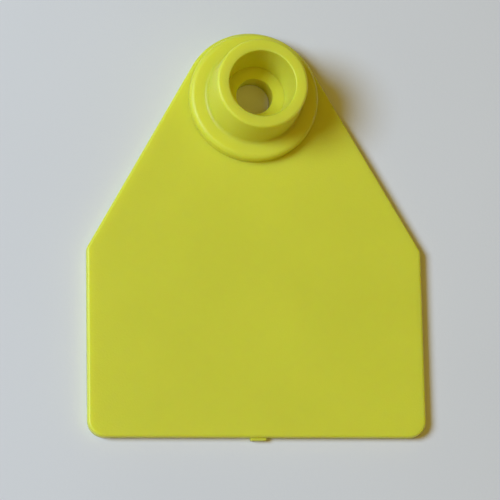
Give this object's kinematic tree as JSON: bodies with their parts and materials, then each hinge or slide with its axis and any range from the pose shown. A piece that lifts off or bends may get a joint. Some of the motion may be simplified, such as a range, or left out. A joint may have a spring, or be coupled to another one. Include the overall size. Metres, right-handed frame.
{
  "type": "livestock ear tag",
  "caption": "Flat yellow livestock ear tag with a round neck and a moulded hub, whose bored socket takes the stud of the tag's other half.",
  "frame": {"origin": "on the hub's axis, at the flat back face of the panel", "axes": "+X across the panel, +Y from the panel's foot to its neck, +Z out of the hub's mouth"},
  "size_m": [0.06, 0.0739, 0.0134],
  "materials": {
    "tag_plastic": "satin"
  },
  "bodies": {
    "root": {"ear_tag": "tag_plastic"}
  },
  "joints": []
}
